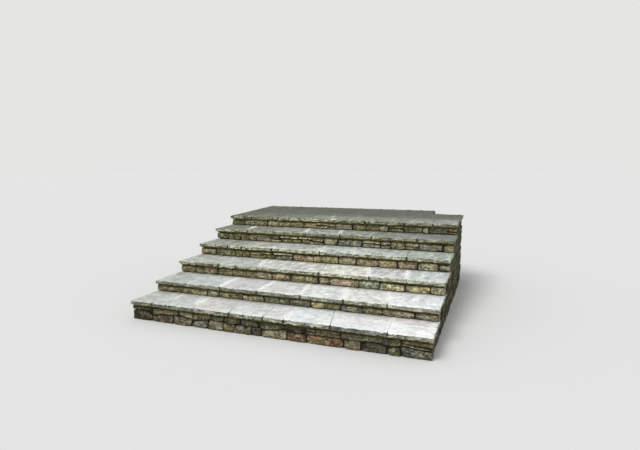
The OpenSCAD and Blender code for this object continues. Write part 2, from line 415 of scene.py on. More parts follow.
def make_hewing():
    """Geometry nodes that work plain blocks into split stone, with worn arrises, lumps, facets,
    layers and grit. The mesh says at each point how far it is worked and how soft its edges are."""
    tree = bpy.data.node_groups.new("hew_stone", "GeometryNodeTree")
    sizes = ("Lump Size", "Lump Depth", "Facet Size", "Facet Slope", "Layer Height", "Layer Depth",
             "Grit Size", "Grit Depth")
    sockets = {"Blocks": "Geometry", "Wear": "Int", **dict.fromkeys(sizes, "Float"),
               "Finish": "Material"}
    for name, kind in sockets.items():
        tree.interface.new_socket(name, in_out="INPUT", socket_type="NodeSocket" + kind)
    tree.interface.new_socket("Stones", in_out="OUTPUT", socket_type="NodeSocketGeometry")
    given_node = tree.nodes.new("NodeGroupInput")
    given = {name: Wire(given_node.outputs[name]) for name in sockets}

    def node(kind, settings, sockets, output=0):
        return add_node(tree, kind, settings, sockets, output)

    def carried(name):
        return node("GeometryNodeInputNamedAttribute", {"data_type": "FLOAT"}, {"Name": name})

    def vector(operation, first, second, output=0):
        return node("ShaderNodeVectorMath", {"operation": operation}, {0: first, 1: second}, output)

    def bumps(where, size, detail, seed):
        return node("ShaderNodeTexNoise", {"noise_dimensions": "4D"}, {
            "Vector": where, "W": seed, "Scale": 1 / size, "Detail": detail})

    spot = node("GeometryNodeInputPosition", {}, {})
    normal = node("GeometryNodeInputNormal", {}, {})
    seed = carried("seed")
    worn = node("GeometryNodeBlurAttribute", {"data_type": "FLOAT_VECTOR"}, {
        "Value": spot, "Iterations": given["Wear"], "Weight": carried("soft")})
    cell = tree.nodes.new("ShaderNodeTexVoronoi")
    plug(cell.inputs["Vector"], spot)
    plug(cell.inputs["Scale"], 1 / given["Facet Size"])
    lean = vector("SUBTRACT", Wire(cell.outputs["Color"]), (0.5, 0.5, 0.5))
    from_middle = vector("SUBTRACT", spot, Wire(cell.outputs["Position"]))
    facet = vector("DOT_PRODUCT", lean, from_middle, "Value")
    across = vector("MULTIPLY", spot, (0.12, 0.12, 1.0))
    layer = node("ShaderNodeMapRange", {"interpolation_type": "SMOOTHSTEP"}, {
        "Value": bumps(across, given["Layer Height"], 1.0, seed), "From Min": 0.42, "From Max": 0.62})
    lumps = bumps(spot, given["Lump Size"], 2.0, seed) * given["Lump Depth"]
    grit = bumps(spot, given["Grit Size"], 3.0, seed + 9.0) * given["Grit Depth"]
    cut = lumps + facet * given["Facet Slope"] + layer * given["Layer Depth"] + grit
    cut = cut.math("MAXIMUM", 0.0)
    whole_cut = given["Lump Depth"] + given["Layer Depth"] + given["Grit Depth"]
    sunk = node("ShaderNodeVectorMath", {"operation": "SCALE"}, {
        0: normal, "Scale": cut * carried("work") * -1.0})
    stones = given["Blocks"]
    for kind, settings, inputs in (
            ("SetPosition", {}, {"Position": worn}),
            ("SetPosition", {}, {"Offset": sunk}),
            ("StoreNamedAttribute", {"data_type": "FLOAT", "domain": "POINT"},
             {"Name": "hollow", "Value": cut / whole_cut}),
            ("SetShadeSmooth", {}, {"Shade Smooth": True}),
            ("RealizeInstances", {}, {}),
            ("SetMaterial", {}, {"Material": given["Finish"]})):
        stones = node("GeometryNode" + kind, settings, {"Geometry": stones, **inputs})
    plug(tree.nodes.new("NodeGroupOutput").inputs["Stones"], stones)
    return tree


def hew(name, node, blocks, sizes, finish, slot):
    """Works the blocks through the tree with these sizes, and dresses the plain piece that comes
    out, which stands for the CAD node."""
    blank = add_object(name + "_blank", blocks.mesh(node))
    modifier = blank.modifiers.new("hew", "NODES")
    modifier.node_group = hewing
    inputs = {**sizes, "Finish": finish}
    for item in hewing.interface.items_tree:
        if item.name in inputs:
            modifier[item.identifier] = inputs[item.name]
    result = bpy.data.meshes.new_from_object(
        blank.evaluated_get(bpy.context.evaluated_depsgraph_get()))
    result.name = name
    bpy.data.objects.remove(blank)
    dress(add_object(name, result), finish, slot, node)


def stone_finish(name, damp_and_shade):
    """Split stone: layered, mottled and flecked with lichen; the share from 0 to 1 of damp, moss and
    painted shade darkens and greens it.
    """
    stone = Finish(name)
    bands = stone.speckle(0.034, 3, detail=5, stretch=(0.3, 0.3, 1.8))
    cloud = stone.speckle(0.10, 9, detail=3)
    grey = stone.speckle(0.07, 31, detail=3)
    blotch = stone.speckle(0.020, 14, detail=6, stretch=(0.7, 0.7, 1.2), rough=0.76)
    patch = stone.speckle(0.055, 51, detail=2)
    fleck = stone.speckle(0.009, 5, detail=3)
    lichen = stone.step(blotch * 0.6 + grey * 0.4, 0.53, 0.63)
    body = stone.cover(stone.colour("tint"), (stone.step(cloud, 0.46, 0.68) * 0.5, tone(128, 118, 80)),
                       (stone.step(grey, 0.46, 0.66) * 0.5, tone(142, 142, 120)))
    body = stone.mottle(body, (bands, 0.36, 0.62, 0.60, 1.24), (blotch, 0.40, 0.58, 0.44, 1.50),
                        (patch, 0.34, 0.64, 0.66, 1.26))
    body = stone.mix(lichen * 0.55, body, tone(212, 204, 158))
    body = stone.mottle(body, (fleck, 0.32, 0.66, 0.54, 1.46))
    # Dirt and painted shade darken the stones into their open joints
    body = stone.shade(body, stone.value("edge"), 1.08, 0.34)
    body = stone.mottle(body, (stone.value("hollow"), 0.25, 0.9, 1.1, 0.6))
    # A dark olive band under the overhang and at the foot: painted shade, with moss and dirt
    body = stone.mix(stone.value("eaves") * 0.75, body, stone.shade(tone(84, 80, 44), blotch, 0.5, 1.3))
    # The share of the stones' brightness that dirt and painted shade leave
    body = stone.shade(body, stone.value("clean"), 0.0, 1.0)
    # Damp, moss and painted shade darken and green the stone
    body = stone.mix(damp_and_shade, body, stone.times(body, *tone(148, 148, 134)))
    return stone.finish(body, 0.88, bands * 0.5 + blotch * 0.5 + fleck * 0.25, 0.010)


split_stone = stone_finish("split_ledgestone", 0.0)

setting = Finish("dark_mortar")
set_grain = setting.speckle(0.012, 2)
dark_mortar = setting.finish(
    setting.mix(set_grain, tone(44, 40, 30), tone(74, 68, 50)), 0.95, set_grain, 0.004)

hewing = make_hewing()
HEWN = {"Wear": 2, "Lump Size": 0.06, "Lump Depth": 0.008, "Facet Size": 0.04, "Facet Slope": 0.4,
        "Layer Height": 0.012, "Layer Depth": 0.003, "Grit Size": 0.012, "Grit Depth": 0.003}
# Stones of each course, from the left: place of the right joint, its lean, tone or tones of the
# layers, and where the joint gapes its width. Lengths are mm from the left end of the riser.
# Stones that stood in shade carry darker tones: painted shade
RISER_COURSES = {
    1: ["""272 0 peat 12, 543 12 bark 16, 785 18 rose 18, 985 26 ash 16, 1172 -6 beige 8,
        1302 24 olive 4, 1415 18 rose 4, 1497 0 olive, 1608 4 soot 14, 1888 8 cream,
        2093 6 rust 12, 2468 0 orange 12, 2633 0 tan 12, 2872 10 soot 18, 2998 0 fern 16,
        3276 0 dove""",
        """272 0 peat 14, 618 -12 gold 14, 780 6 cream 3, 1025 0 umber 12, 1182 8 umber 10,
        1332 10 olive 4, 1378 -4 pitch 14, 1478 10 plum 4, 1586 -14 fern 30, 1860 0 fern 6,
        2086 6 pitch 12, 2184 -6 olive+moss 10, 2436 -8 umber+rust 10, 2826 10 olive 5,
        2886 0 plum 4, 3004 4 olive 16, 3276 0 cream+tan"""],
    2: ["""266 0 umber 3, 493 0 umber 5, 612 4 gold 4, 702 0 beige 12, 857 0 beige 8, 1163 4 olive 10,
        1425 -4 beige 8, 1608 0 ash 4, 1732 4 slate 8, 1974 0 slate 16, 2130 0 gold 2,
        2300 14 olive 12, 2538 -12 dove 5, 2732 2 olive 8, 3046 2 beige 12, 3276 0 ash"""],
    3: ["""225 3 umber 5, 349 4 moss 4, 552 8 russet 20, 760 0 moss 3, 903 0 umber 6, 1090 10 umber 3,
        1300 0 rose 10, 1480 0 honey 2, 1537 8 rose 12, 1810 0 gold 3, 1884 -6 umber 12,
        2018 -14 rose 10, 2310 0 pink 2, 2357 8 plum 3, 2590 0 sage 10, 2864 -2 cream 10,
        3126 0 honey 7, 3276 0 cream"""],
    4: ["""246 4 tan 12, 545 -2 moss 9, 640 0 olive 3, 754 4 rust 9, 930 0 gold+olive 3,
        1094 0 umber+gold 18, 1366 4 ash+cream 16, 1650 0 peach 2, 1750 10 gold 4, 1974 6 gold 9,
        2196 2 beige 16, 2464 2 honey 7, 2692 0 honey 16, 2922 6 rose 16, 3153 -2 beige 14,
        3276 0 slate"""],
    5: ["""200 0 bark 3, 286 -22 umber 12, 388 26 moss 12, 520 0 bark 3, 640 6 moss 4,
        870 0 beige+olive 3, 986 8 cream+bark 14, 1150 0 tan+cream 3, 1296 6 olive+honey 22,
        1466 0 tan+cream 3, 1636 6 beige+olive 18, 1826 6 beige 16, 2040 0 dove 3, 2156 14 ash 18,
        2290 0 ash+cream 3, 2408 4 ash+gold 12, 2520 0 ash+cream 8, 2700 0 olive 8,
        2868 0 umber+tan 8, 3150 2 dove 14, 3276 0 gold"""],
    6: ["""236 0 fern 3, 318 8 ash 3, 470 0 olive 3, 606 0 olive 22, 850 6 tan 2, 1010 0 rose 2,
        1182 4 olive 8, 1372 2 tan 3, 1520 0 tan+cream 3, 1652 0 tan+cream 7, 1780 0 beige 3,
        1902 0 dove 16, 2100 0 olive 6, 2270 0 umber 8, 2400 6 ash 8, 2610 0 umber+olive 8,
        2846 0 moss 8, 2926 6 beige 10, 3164 0 slate 12, 3276 0 umber+rust"""]}
# The bed between the two courses of the lowest riser, as (place, height) in mm
LOW_BED = [(0, 112), (270, 112), (290, 70), (380, 96), (500, 98), (610, 104), (690, 96), (790, 80),
           (870, 80), (950, 94), (1000, 106), (1140, 100), (1200, 92), (1290, 88), (1330, 94),
           (1570, 92), (1640, 80), (1740, 90), (1840, 98), (1950, 92), (2440, 90), (2640, 95),
           (2790, 99), (2850, 84), (2900, 84), (3000, 94), (3030, 104), (3100, 94), (3276, 86)]
# How far the mortar lies behind the stones' faces and below their tops, and how far the stones
# stand up into the bed above, in metres
RECESS = 0.032
SUNK = 0.004
OVERFILL = 0.001
# Size of the cells in the stones' mesh, in metres
RISER_CELL = 0.012
# The lowest riser is rubble, rounder than the ledges of the others and painted darker with dirt and
# painted shade
RUBBLE = {"rounding": 0.26, "bedding": (0.002, 0.004), "soiling": 0.56, "shelter": 0.036}
LEDGE_BEDDING = (0.006, 0.008)
# Share of each riser's brightness left by dirt and painted shade; above 1 it is painted lighter
SOIL_AND_SHADE = {2: 0.93, 3: 0.96, 4: 0.93, 5: 1.08, 6: 1.01}


def fill(name, boxes, material, *replaced):
    """The mortar behind the stones, as plain blocks from (low corner, high corner) pairs."""
    blocks = Blocks()
    ends = np.array([0.0, 1.0])
    for low, high in boxes:
        low, high = np.array(low), np.array(high)
        blocks.add(lambda u, v, w, low=low, high=high: low + (high - low) * np.stack([u, w, v], -1),
                   ends, ends, ends)
    dress(add_object(name, blocks.mesh(name)), material, "mortar", *replaced)


def read_course(text):
    """The stones that a text lists, each as (right joint, lean, tones of its layers[, gap])."""
    for stone in text.split(","):
        x, lean, tones, *gap = stone.split()
        yield int(x), int(lean), tones.split("+"), *map(int, gap)


for step, courses in RISER_COURSES.items():
    node = f"riser_{step}"
    low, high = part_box(node)
    manner = RUBBLE if step == 1 else {"bedding": LEDGE_BEDDING, "soiling": SOIL_AND_SHADE[step]}
    wall = Wall((1, 0, 0), (0, -1, 0), -low.y, (low.x, low.z), (high.x, high.z + OVERFILL),
                RISER_CELL, Blocks(), **manner)
    lines = [level(low.z), level(high.z + OVERFILL)]
    if len(courses) == 2:
        bed_x, bed_z = np.array(LOW_BED).T / 1000
        lines.insert(1, lambda x: low.z + np.interp(x - low.x, bed_x, bed_z))
    for index, text in enumerate(courses):
        wall.course(low.x, [*read_course(text)], lines[index], lines[index + 1], 10 * step + index,
                    high.y - low.y)
    hew(f"{node}_stones", node, wall.blocks, HEWN, split_stone, "ledgestone")
    fill(f"{node}_mortar", [((low.x + RECESS, low.y + RECESS, low.z),
                             (high.x - RECESS, high.y, high.z - SUNK))], dark_mortar, node)

# Mortar beds
# A bed of sandy mortar lies over the masonry of each step, painted dark where it shows under
# the flags, with dirt and painted shade. The same mortar is struck in the joints between the flags, where
# it dries pale.


def joint_finish(name, front, bed_top, pale, dull, run, spots):
    """Mortar that is dark at its front end and up to bed_top, with dirt and painted shade, and else pale
    near the spots, from where each starts as far as run behind the front, and dull elsewhere."""
    joint = Finish(name)
    grain = joint.speckle(0.005, 1, detail=3)
    stain = joint.speckle(0.045, 4, detail=3)
    broad = joint.speckle(0.22, 8, detail=2)
    x, y, z = (joint.along(axis) for axis in "XYZ")
    whitened = joint.step(stain, 0.55, 0.80) * 0.4
    for spot, start in spots:
        close = joint.step((x - spot).math("ABSOLUTE", 0.0), 0.14, 0.09)
        if start:
            close = close * joint.step(y, front + start - 0.03, front + start + 0.03)
        whitened = close.math("MAXIMUM", whitened)
    whitened = whitened * joint.step(stain, 0.30, 0.44) * joint.step(y, front + run, front + run - 0.04)
    faded = joint.mottle(tone(*dull), (broad, 0.36, 0.62, 0.72, 1.12))
    # Dark front and bed under the flags: painted shade, with dirt
    clean = joint.step(z, bed_top, bed_top + 0.008) * joint.step(y, front + 0.006, front + 0.024)
    shade_and_grime = joint.mix(joint.step(z, 0.72, 0.76), tone(88, 82, 54), tone(110, 106, 72))
    mottled_shade_and_grime = joint.mottle(shade_and_grime, (stain, 0.36, 0.66, 0.55, 1.3))
    body = joint.mix(clean, mottled_shade_and_grime, joint.mix(whitened, faded, tone(*pale)))
    return joint.finish(joint.shade(body, grain, 0.8, 1.15), 0.95, grain, 0.003)


# Pale and dull tone of the mortar in each step's joints, how far the pale one runs back from the
# front, in metres, and the places in mm from the left end where it is smeared over the flags,
# each with how far behind the front that starts
JOINTS = {"bed_1": ((232, 232, 226), (192, 191, 182), 0.5,
                    [(416, 220), (735, 120), (1862, 0), (2875, 0)]),
          "bed_2": ((255, 255, 252), (200, 199, 190), 0.5,
                    [(875, 0), (1362, 0), (1816, 0), (2282, 0), (2748, 110)]),
          "bed_3": ((255, 255, 252), (172, 171, 158), 0.5, [(1060, 100), (2415, 0), (2850, 0)]),
          "bed_4": ((226, 226, 216), (140, 139, 125), 0.16, [(1080, 0), (1730, 0)]),
          "bed_5": ((206, 206, 192), (120, 119, 104), 0.5, [(465, 150), (1330, 80), (1810, 130)]),
          "landing_bed": ((200, 200, 184), (98, 98, 84), 0.13, [(1620, 0)])}
seats = [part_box(f"riser_{k}")[1].z for k in range(1, 7)]
BED_THICK = 0.013


def from_left(left, spots):
    """Spots in metres of the model, from their place along a step and their sizes in mm."""
    return [(left + place / 1000, *(size / 1000 for size in sizes)) for place, *sizes in spots]


for (bed, (pale, dull, run, spots)), seat in zip(JOINTS.items(), seats):
    dress(nodes[bed], joint_finish(f"{bed}_mortar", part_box(bed)[0].y, seat + BED_THICK, pale, dull, run,
                                   from_left(cad_low.x, spots)))

# Flagstones
# The treads and the landing are flags of layered sandstone, sawn on the bed and broken to size
# by hand, laid in mortar. Their front edges are pitched off rough and show the layers.
FRONT_BAND = 0.010
# Tone of each flag from the left, and how pale its front edge is. The upper treads, the landing and the
# flags and edges that stood in shade are darker: painted shade, with some dirt
FLAGS = {
    "tread_1": [(197, 201, 195, 0.92), (203, 206, 201, 0.5), (206, 209, 205, 0.66),
                (220, 217, 214, 1.34), (219, 221, 218, 0.96), (223, 224, 221, 1.4),
                (233, 237, 237, 1.5), (241, 241, 240, 0.66), (251, 251, 248, 0.94),
                (238, 234, 233, 0.94)],
    "tread_2": [(190, 195, 188, 0.78), (205, 209, 207, 1.04), (218, 217, 215, 0.64),
                (226, 225, 223, 0.78), (232, 234, 232, 1.08), (230, 230, 225, 1.12),
                (233, 237, 236, 1.12)],
    "tread_3": [(184, 187, 180, 0.72), (193, 197, 191, 1.05), (211, 212, 206, 0.84),
                (220, 220, 210, 1.38), (213, 213, 212, 0.84), (214, 219, 217, 1.12)],
    "tread_4": [(160, 164, 153, 0.86), (168, 170, 160, 1.5), (181, 181, 171, 0.98),
                (187, 191, 185, 1.12), (200, 205, 202, 0.9), (186, 191, 187, 0.96),
                (178, 184, 178, 0.96), (180, 186, 179, 1.12)],
    "tread_5": [(134, 136, 123, 1.34), (143, 144, 131, 0.92), (158, 159, 149, 0.7),
                (164, 168, 160, 0.66), (154, 157, 148, 0.84), (144, 147, 139, 0.8),
                (134, 136, 134, 0.76)],
    "landing_nosing": [(104, 107, 92, 0.66), (114, 116, 102, 0.7), (124, 126, 113, 1.26),
                       (136, 138, 124, 1.06), (138, 141, 128, 0.68), (136, 139, 127, 0.86),
                       (142, 143, 136, 0.86), (150, 149, 147, 0.76)],
    "landing_paving": [(109, 111, 98, 1), (105, 107, 95, 1), (112, 114, 102, 1), (108, 111, 100, 1)]}
# Where a corner or a stretch of the front edge has broken away: place in mm from the left end,
# half its length and its depth
BROKEN = {"tread_1": [(292, 7, 8), (590, 25, 5), (905, 25, 7), (1262, 7, 8), (1570, 30, 10),
                      (2120, 60, 7), (2352, 11, 14)],
          "tread_2": [(560, 70, 8), (888, 8, 7), (1360, 7, 8), (1872, 8, 7), (2342, 9, 12)],
          "tread_3": [(572, 16, 26), (1800, 60, 8), (1905, 8, 8), (2490, 8, 8)],
          "tread_4": [(445, 12, 14), (650, 9, 10), (1090, 9, 12), (1745, 7, 8), (2810, 7, 8)],
          "tread_5": [(515, 9, 14), (2230, 40, 9), (2290, 7, 8)]}
# Joints that are shut tight at the front edge, in mm from the left end
SHUT = {"tread_1": [473, 845], "tread_2": [430], "tread_3": [1110, 2898], "tread_4": [2395],
        "tread_5": [930, 1390]}
# White smears of mortar: place from the left end and behind the front edge, and their reach
# along both, in mm
SMEARS = {"tread_1": [(770, 280, 30, 110)],
          "tread_2": [(2290, 330, 50, 60), (2335, 130, 26, 110), (2768, 240, 48, 110)],
          "tread_3": [(1136, 330, 24, 44), (1205, 300, 16, 16), (2400, 340, 24, 60), (2480, 60, 24, 40),
                      (2850, 350, 32, 60), (2890, 130, 22, 90)],
          "tread_4": [(1090, 36, 60, 32), (950, 34, 46, 20), (1748, 40, 34, 60), (1690, 260, 20, 90)],
          "tread_5": [(490, 190, 18, 110), (1350, 160, 20, 60)], "landing_nosing": [(1534, 290, 14, 60)]}
# How far the front of a step is worn pale, on the landing partly painted light, and how far down and in
# its front edge is pitched above and spalled below, in metres
LIP = {"landing_nosing": 0.17}
ARRIS = {"drop": 0.011, "set": 0.0055}
SPALL = {"drop": 0.006, "set": 0.003}
# How far a flag's side stands out into its joint at the front, and the size of the cells of its
# mesh, in metres
OPEN_BY = 0.0022
SHUT_BY = 0.0034
FLAG_CELL = 0.013


def loose_parts(node):
    """The corners of each separate solid of a CAD node, as arrays of points."""
    mesh = nodes[node].data
    places = np.round([vertex.co[:] for vertex in mesh.vertices], 5)
    corners, index = np.unique(places, axis=0, return_inverse=True)
    index = index.ravel()
    owner = list(range(len(corners)))

    def chief(i):
        while owner[i] != i:
            i = owner[i]
        return i

    for face in mesh.polygons:
        first, *others = (chief(index[i]) for i in face.vertices)
        for other in others:
            owner[chief(other)] = chief(first)
    chiefs = np.array([chief(i) for i in range(len(corners))])
    return [corners[chiefs == c] for c in np.unique(chiefs)]


class Flag:
    """The outline of one flag, read from the corners of its plain solid."""

    def __init__(self, corners):
        x, y, z = corners.T
        rest = y > y.min() + FRONT_BAND
        middle = (x.min() + x.max()) / 2
        self.back = y.max()
        self.edges = []
        for pick, side in ((np.min, x < middle), (np.max, x > middle)):
            tip = pick(x[~rest])
            near = ~rest & (abs(x - tip) < 0.004)
            depths = np.unique(np.round(y[rest & side], 4))
            places = [pick(x[side & (abs(y - depth) < 1e-4)]) for depth in depths]
            self.edges.append((np.array([y[near].min(), *depths]), np.array([tip, *places])))
        last = np.unique(np.round(y, 4))[-2:]
        tops = [z[abs(y - depth) < 1e-4].max() for depth in last]
        self.slope = (tops[1] - tops[0]) / (last[1] - last[0])
        self.top_back = tops[1]
        self.thick = tops[1] - z[abs(y - last[1]) < 1e-4].min()
        self.left, self.right, self.front = x.min(), x.max(), y.min()

    def lay(self, blocks, colour, paleness, free, rng,
            front, broken, shut, smears, foot, lip, run, spots):
        """Adds the flag to blocks. paleness is that of its edge against its top, and free tells
        which of its sides show. The rest holds for the whole step: the place of its front, where
        the front edge is broken, which joints are shut, where mortar is smeared on the flags, where
        the next riser stands, how far the lip is worn pale, on the landing partly as painted light, and
        how far back mortar whitens the rims of the joints near which spots."""
        seed = rng.uniform(0, 50)
        thick, width, depth = self.thick, self.right - self.left, self.back - self.front
        shown = [side for side in free if free[side]]
        hidden = [side for side in free if not free[side]]
        closed = [side for side, (depths, places) in zip(("left", "right"), self.edges)
                  if any(abs(places[0] - spot) < 0.02 for spot in shut)]
        parted = [side for side in hidden if side not in closed]
        push = {side: SHUT_BY if side in closed else OPEN_BY for side in ("left", "right")}

        def place(u, v, w):
            sides = []
            for depths, places in self.edges:
                y = depths[0] + (self.back - depths[0]) * v
                sides.append((np.interp(y, depths, places), y))
            x, y = (sides[0][i] + (sides[1][i] - sides[0][i]) * u for i in (0, 1))
            tight = hump(v * depth, 0.035) * free["front"]
            wander = 0.0022 * drift(x, y, 0.05, seed) * (1 - tight) - 0.0010
            inward = [(wander - far * tight) * (1 - free[side]) for side, far in push.items()]
            x = x + inward[0] * (1 - u) ** 8 - inward[1] * u ** 8
            down = w * thick
            if free["front"]:
                rough = 1 + 0.7 * drift(x, down * 0, 0.045, seed) + 0.7 * drift(x, down * 0, 0.017, seed)
                inset = ARRIS["set"] * np.clip(1 - down / ARRIS["drop"], 0, 1) * rough
                inset += SPALL["set"] * np.clip(1 - (thick - down) / SPALL["drop"], 0, 1) * rough
                for spot, reach, bite in broken:
                    inset += bite * hump(x - spot, reach) * (1 - 0.3 * w)
                y = y + inset * np.clip(1 - v * depth / 0.03, 0, 1)
            z = self.top_back + self.slope * (y - self.back) - down
            return np.stack([x, y, z], -1)

        def near(u, v, reach, chosen):
            """1 at the chosen sides, fading to 0 within some reach of them, in metres."""
            far = {"left": u * width, "right": (1 - u) * width,
                   "front": v * depth, "back": (1 - v) * depth}
            return np.max([0 * u] + [hump(far[side], reach) for side in chosen], axis=0)

        def worked(u, v, w):
            return np.maximum(np.where(w == 0, 0.3, 0.0),
                              np.maximum(near(u, v, 0.018, shown), 0.12 * near(u, v, 0.018, hidden)))

        def mortared(u, v, w):
            """1 where white mortar lies: along the joints near the spots, and in the smears."""
            x, y = place(u, v, w)[:, :2].T
            whitened = np.max([0.12 + 0 * x] + [
                hump(x - spot, 0.08) * np.clip((y - front - start) / 0.04 + 1, 0, 1)
                for spot, start in spots], axis=0)
            smeared = np.max([0 * x] + [hump(x - a, far) * hump(y - front - b, deep)
                                        for a, b, far, deep in smears], axis=0)
            return np.maximum(near(u, v, 0.024, hidden) * whitened * (y < front + run), smeared)

        def soiled(u, v, w):
            """1 at the foot of the next riser, where dirt and painted shade darken the tread."""
            return hump(np.minimum(place(u, v, w)[:, 1] - foot, 0), 0.028)

        def nicked(u, v, w):
            """1 in a broken corner of the front edge, painted dark for moss and painted shade."""
            x = place(u, v, w)[:, 0]
            nicks = [min(bite / 0.014, 1) * hump(x - spot, reach)
                     for spot, reach, bite in broken if reach < 0.02]
            return np.max([0 * x] + nicks, axis=0) * near(u, v, 0.03, ["front"])

        rows = np.array([0, 0.003, 0.008, 0.016, 0.030, 0.050, 0.080]) / depth
        rows = rows[rows < 0.4]
        count = max(3, round(depth * (1 - rows[-1]) / 0.045))
        rest = np.linspace(rows[-1], 1 - 0.006 / depth, count)[1:]
        tint = np.array(tone(*colour)) * rng.uniform(0.94, 1.0)
        blocks.add(place, spread(width, FLAG_CELL), np.concatenate([rows, rest, [1.0]]),
                   np.array([0, 0.09, 0.22, 0.36, 0.5, 0.64, 0.78, 0.9, 1.0]), tint=tint,
                   soft=0.55, seed=seed, work=worked, foot=soiled, nick=nicked, margin=mortared,
                   own=paleness / 2, drop=lambda u, v, w: w,
                   rim=lambda u, v, w: near(u, v, 0.004, shown),
                   sunk=lambda u, v, w: near(u, v, 0.002, parted) * np.clip(w * thick / 0.008, 0, 1),
                   lip=lambda u, v, w: near(u, v, lip, [side for side in shown if side == "front"]))


slab = Finish("flagstone")
tint, lip, rim, drop = slab.colour("tint"), slab.value("lip"), slab.value("rim"), slab.value("drop")
depth_in, height = slab.along("Y"), slab.along("Z")
aged = slab.step(height, 0.15, 0.6)
high_up = slab.step(height, 0.2, 0.95)
landed = slab.step(height, 0.78, 0.92)
broad = slab.speckle(0.30, 21, detail=3)
patch = slab.speckle(0.08, 23, detail=5, rough=0.65)
smear = slab.speckle(0.045, 27, stretch=(0.6, 1.6, 1))
cast_of = slab.speckle(0.13, 41, detail=3)
fine = slab.speckle(0.006, 29, detail=3)
frost = slab.speckle(0.065, 71, detail=5, stretch=(1, 0.55, 1), rough=0.62)
weathered = slab.speckle(0.026, 73, stretch=(1, 0.5, 1), rough=0.7)
peppered = slab.speckle(0.012, 77, detail=2, stretch=(1, 0.45, 1))
washed = slab.speckle(0.14, 75, stretch=(1, 0.45, 1))
cleft = slab.speckle(0.05, 61, detail=5, stretch=(0.7, 1.2, 1))
crack = (cleft - 0.5).math("ABSOLUTE", 0.0)
pits = slab.speckle(0.017, 63, detail=5, stretch=(0.8, 1.3, 1), rough=0.7)
# The sawn top: frosted and worn in patches on the lower treads, rain-washed on the landing, in
# greenish and pinkish casts, with mortar smeared at its joints, and dirt and painted shade at the foot of
# a riser
worn = aged * (1 - landed * (1 - lip) * 0.6)
plain = slab.mottle(tint, (broad, 0.3, 0.7, 0.92, 1.06), (patch, 0.34, 0.66, 0.84, 1.09))
top = slab.cover(
    plain, (slab.step(frost, 0.53, 0.60) * worn * 0.8, slab.times(plain, 1.40, 1.40, 1.34)),
    (slab.step(frost, 0.46, 0.39) * worn * 0.9, slab.times(plain, 0.66, 0.66, 0.64)))
grained = slab.mottle(top, (weathered, 0.36, 0.62, 0.74, 1.24), (peppered, 0.36, 0.64, 0.78, 1.20))
top = slab.mix(worn * (lip * 0.5 + 0.5), top, grained)
streaks = slab.step(washed * 0.5 + frost * 0.5, 0.52, 0.58) * lip * 0.4
streaked = slab.mix(streaks, slab.mottle(top, (washed, 0.38, 0.60, 0.84, 1.18)), tone(206, 208, 196))
top = slab.mix(landed * (lip * 0.6 + 0.4), top, streaked)
# The landing darkens towards its back: painted shade
top = slab.shade(top, slab.step(depth_in, 0.65, 1.35) * landed, 1.0, 0.84)
top = slab.mix(slab.step(cast_of, 0.42, 0.60), slab.times(top, 0.976, 1.0, 0.989),
               slab.times(top, 1.0, 0.978, 0.980))
top = slab.cover(
    top, (slab.step(smear, 0.52, 0.68) * (lip * 0.5 + 0.4), slab.times(top, 1.34, 1.33, 1.26)))
top = slab.mottle(top, (patch * 0.5 + smear * 0.5, 0.42, 0.30, 1.0, 0.72),
                  (pits, 0.38, 0.58, 0.88, 1.05), (crack, 0.004, 0.022, 0.84, 1.01))
# A lighter front lip: worn pale, and on the landing partly painted light
top = slab.cover(
    slab.shade(top, lip, 0.985, 1.08),
    (slab.value("margin") * slab.step(smear, 0.32, 0.48), tone(250, 250, 246)),
    (slab.value("foot") * slab.step(smear + patch, 0.75, 1.05) * 0.5, tone(100, 98, 74)),
    # Painted shade darkens the flags' sides down into open joints, more on the upper treads
    (slab.value("sunk"), slab.mix(high_up, tone(112, 110, 98), tone(64, 62, 46))))
# The pitched edge: layers of the bed, spots and grit, with moss low down, lichen where it has
# aged, a pale arris at the top that is partly a painted highlight, and moss and painted shade in the
# broken corners
edge_bands = slab.speckle(0.017, 31, stretch=(0.16, 0.16, 1))
edge_spots = slab.speckle(0.021, 33, detail=6, stretch=(0.7, 0.7, 1.3), rough=0.74)
edge_grit = slab.speckle(0.010, 37, detail=3)
edge_moss = slab.speckle(0.10, 35, detail=3)
edge_wash = slab.speckle(0.13, 83)
lichen = slab.speckle(0.07, 81, detail=5, stretch=(1, 1, 1.6), rough=0.7)
paler = slab.step(edge_moss * 0.5 + edge_spots * 0.5, 0.47, 0.41)
midway = aged * slab.step(height, 0.85, 0.72)
split = slab.mix(slab.step(height, 0.2, 0.5), tone(96, 101, 88), tone(168, 171, 146))
split = slab.mix(slab.step(height, 0.66, 0.86), split, tone(166, 168, 142))
edge = slab.mottle(slab.mix(0.8, tint, split), (edge_wash, 0.38, 0.60, 0.74, 1.24))
edge = slab.cover(edge, (slab.step(edge_moss, 0.42, 0.66) * 0.5, tone(140, 139, 104)),
                  (slab.step(drop, 0.35, 0.75) * (high_up * 0.3 + 0.4), tone(142, 138, 86)),
                  (paler * (aged * 0.3 + 0.3), tone(220, 219, 202)))
# Lighter towards the bottom of the pitched edge, most on the middle treads: painted light; darker in its
# last few mm: painted shade under the flag
edge = slab.mottle(edge, (edge_bands, 0.40, 0.58, 0.54, 1.20), (edge_spots, 0.38, 0.58, 0.60, 1.30),
                   (edge_grit, 0.34, 0.64, 0.58, 1.40), (slab.value("hollow"), 0.3, 0.9, 1.08, 0.62),
                   (drop, 0.30, 0.72, 0.92, 1.10))
edge = slab.shade(edge, slab.step(drop, 0.50, 0.78) * midway, 1.0, 1.36)
edge = slab.shade(slab.mottle(edge, (drop, 0.90, 1.0, 1.0, 0.75)), slab.value("own"), 0.0, 2.0)
